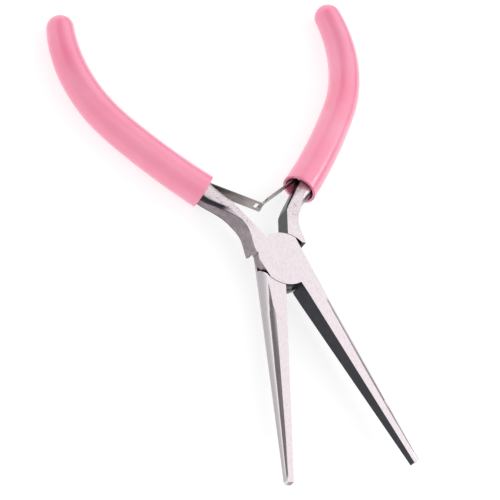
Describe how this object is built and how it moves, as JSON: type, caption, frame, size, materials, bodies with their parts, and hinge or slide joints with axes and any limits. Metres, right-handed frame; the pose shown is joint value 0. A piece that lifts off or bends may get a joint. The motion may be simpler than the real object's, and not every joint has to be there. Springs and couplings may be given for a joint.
{
  "type": "long nose pliers",
  "caption": "Small long-nose pliers: slim half-round tapering jaws, flush lap joint, two-leaf return spring and glossy pink slip-on handle grips, resting open",
  "frame": {"origin": "on the pivot axis, in the plane of the back faces of the two halves", "axes": "+Z from the back faces to the front faces, +Y from the pivot towards the handles, +X to the right seen from the front; jaws point along -Y"},
  "size_m": [0.0922, 0.1393, 0.0094],
  "materials": {
    "forged_steel": "satin ground faces, finely brushed",
    "rivet_steel": "satin, ground flush",
    "grip_plastic": "glossy soft PVC, light pink",
    "spring_steel": "dull grey-brown spring strip"
  },
  "bodies": {
    "front": {"front_half": "forged_steel", "left_grip": "grip_plastic", "pivot_rivet": "rivet_steel", "left_spring_rivet": "rivet_steel"},
    "back": {"back_half": "forged_steel", "right_grip": "grip_plastic", "right_spring_rivet": "rivet_steel"},
    "left_leaf": {"left_leaf_spring": "spring_steel"},
    "right_leaf": {"right_leaf_spring": "spring_steel"}
  },
  "joints": [
    {"name": "main_pivot", "type": "hinge", "parent": "front", "child": "back", "pos_m": [0, 0, 0.003], "axis": [0, 0, 1], "range_deg": [-1.5, 33], "stiffness_Nm_per_rad": 0.15},
    {"name": "left_leaf_pivot", "type": "hinge", "parent": "front", "child": "left_leaf", "pos_m": [-0.01415, 0.0246, 0.003], "axis": [0, 0, 1], "range_deg": [-20.5, 1.5]},
    {"name": "right_leaf_pivot", "type": "hinge", "parent": "back", "child": "right_leaf", "pos_m": [0.01415, 0.0246, 0.003], "axis": [0, 0, 1], "range_deg": [-1.5, 20.5]}
  ],
  "couplings": [
    {"joint": "left_leaf_pivot", "follows": "main_pivot", "ratio": -0.61},
    {"joint": "right_leaf_pivot", "follows": "main_pivot", "ratio": 0.61}
  ]
}
